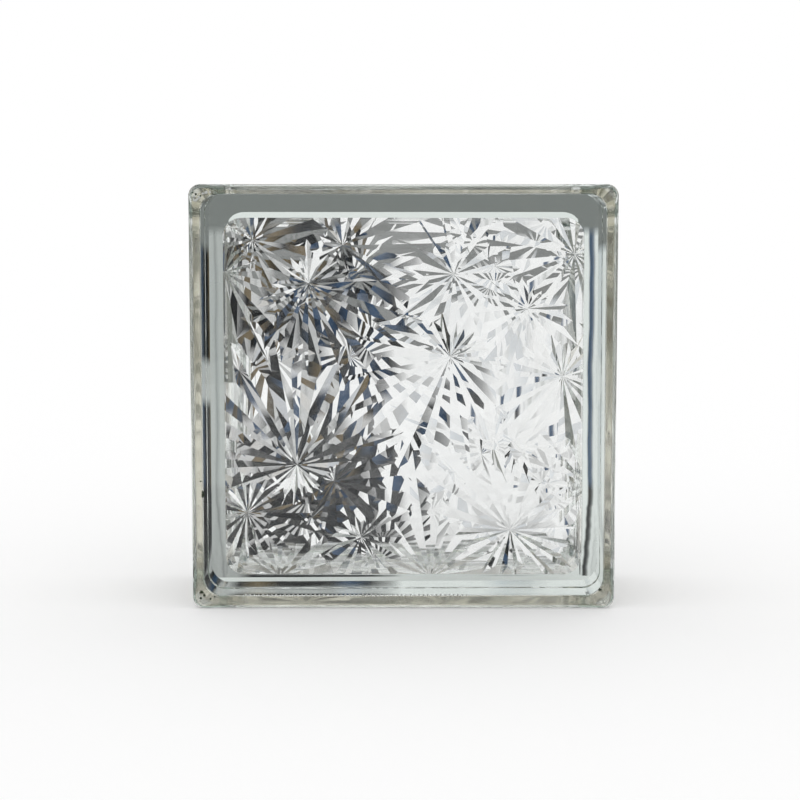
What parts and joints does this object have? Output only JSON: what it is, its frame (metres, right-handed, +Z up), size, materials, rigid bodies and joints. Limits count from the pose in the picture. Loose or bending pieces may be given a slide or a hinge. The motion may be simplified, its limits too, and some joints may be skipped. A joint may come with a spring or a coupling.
{
  "type": "glass block",
  "caption": "Hollow square block of clear pressed glass with flanged faces, a mortar channel round the sides and a star relief inside each face.",
  "frame": {"origin": "centre of the block's box at its lowest plane, where the bottom edge stands", "axes": "+Z up, +Y through the depth from the front face to the back face, +X to the right across the front face"},
  "size_m": [0.19, 0.08, 0.19],
  "materials": {
    "clear_glass": "clear soda-lime glass with a faint green-grey tint, polished outside and pressed in facets inside"
  },
  "bodies": {
    "root": {"glass_block": "clear_glass"}
  },
  "joints": []
}
